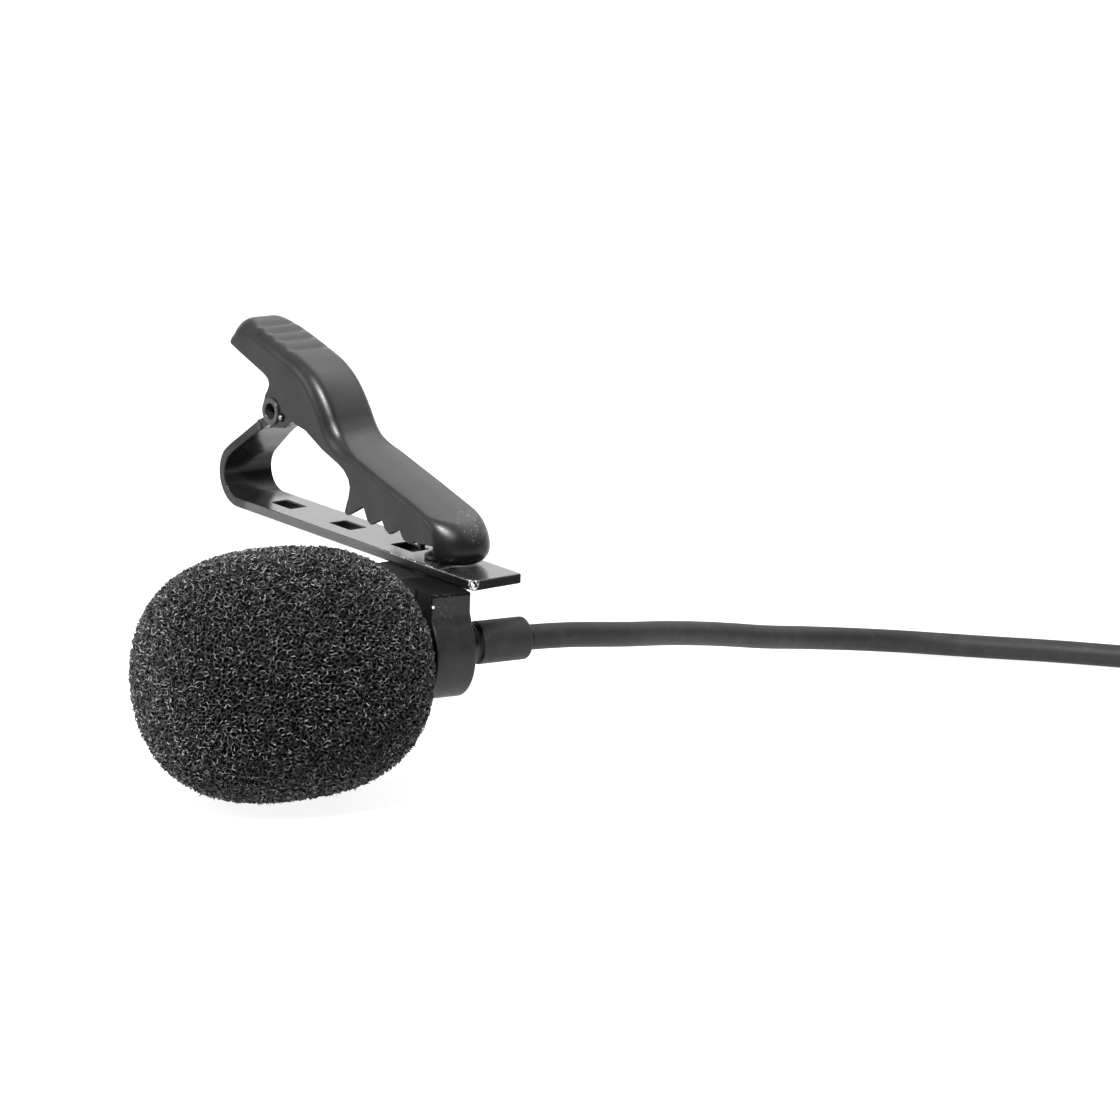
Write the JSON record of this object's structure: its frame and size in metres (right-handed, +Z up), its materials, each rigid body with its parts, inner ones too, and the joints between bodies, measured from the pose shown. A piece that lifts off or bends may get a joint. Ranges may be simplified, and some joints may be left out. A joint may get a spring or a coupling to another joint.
{
  "type": "lavalier microphone",
  "caption": "Clip-on microphone in a foam windscreen, held by a ring under a spring clip with a toothed jaw, on a thin coiled lead that ends in a jack plug.",
  "frame": {"origin": "centre of the bottom of the box round the microphone, windscreen and clip, without the cord and its plug; z = 0 is the surface that the foam and the coil lie on", "axes": "+X along the microphone's axis, from the windscreen towards the cord; +Y backwards along the clip; +Z up"},
  "size_m": [0.1792, 0.0583, 0.0403],
  "materials": {
    "foam": "open-cell foam",
    "capsule_paint": "satin",
    "grille_paint": "satin",
    "felt": "felt",
    "cartridge_metal": "satin",
    "gasket_rubber": "matte",
    "board": "satin",
    "clamp_brass": "plain",
    "collar_metal": "dark satin",
    "relief_rubber": "matte",
    "holder_plastic": "fine matte",
    "rivet_paint": "satin",
    "washer_nylon": "plain",
    "leaf_paint": "satin black",
    "jaw_paint": "satin black",
    "eyelet_paint": "satin black",
    "spring_steel": "dark",
    "cord_rubber": "matte",
    "tie_fabric": "woven strap",
    "boot_rubber": "matte",
    "barrel_paint": "satin black",
    "contact_gold": "gold plated",
    "insulator": "gloss"
  },
  "bodies": {
    "microphone": {"capsule_body": "capsule_paint", "front_grille": "grille_paint", "dust_felt": "felt", "electret_cartridge": "cartridge_metal", "cartridge_gasket": "gasket_rubber", "circuit_board": "board", "cord_clamp": "clamp_brass", "rear_collar": "collar_metal", "strain_relief": "relief_rubber", "cord_lead": "cord_rubber", "cord_coil": "cord_rubber", "coil_tie": "tie_fabric", "cord_tail": "cord_rubber", "plug_boot": "boot_rubber", "plug_barrel": "barrel_paint", "plug_sleeve": "contact_gold", "plug_insulators": "insulator", "plug_ring": "contact_gold", "plug_tip": "contact_gold"},
    "windscreen": {"foam_windscreen": "foam"},
    "holder": {"mic_holder": "holder_plastic", "holder_rivet": "rivet_paint", "swivel_washer": "washer_nylon"},
    "clip": {"clip_leaf": "leaf_paint", "torsion_spring": "spring_steel"},
    "jaw": {"clip_jaw": "jaw_paint", "pivot_eyelet": "eyelet_paint"}
  },
  "joints": [
    {"name": "windscreen_slide", "type": "slide", "parent": "microphone", "child": "windscreen", "axis": [-1, 0, 0], "range_m": [0, 0.014]},
    {"name": "holder_turn", "type": "hinge", "parent": "microphone", "child": "holder", "pos_m": [0.0106, -0.014, 0.013], "axis": [1, 0, 0], "continuous": true},
    {"name": "clip_swivel", "type": "hinge", "parent": "holder", "child": "clip", "pos_m": [0.01419, -0.00797, 0.0195], "axis": [0, 0, 1], "range_deg": [-34, 40]},
    {"name": "jaw_open", "type": "hinge", "parent": "clip", "child": "jaw", "pos_m": [0.00927, 0.0171, 0.03127], "axis": [-0.9813, -0.1925, 0], "range_deg": [0, 30], "stiffness_Nm_per_rad": 0.08, "springref_deg": -45.84, "deforming": ["torsion_spring"]}
  ]
}
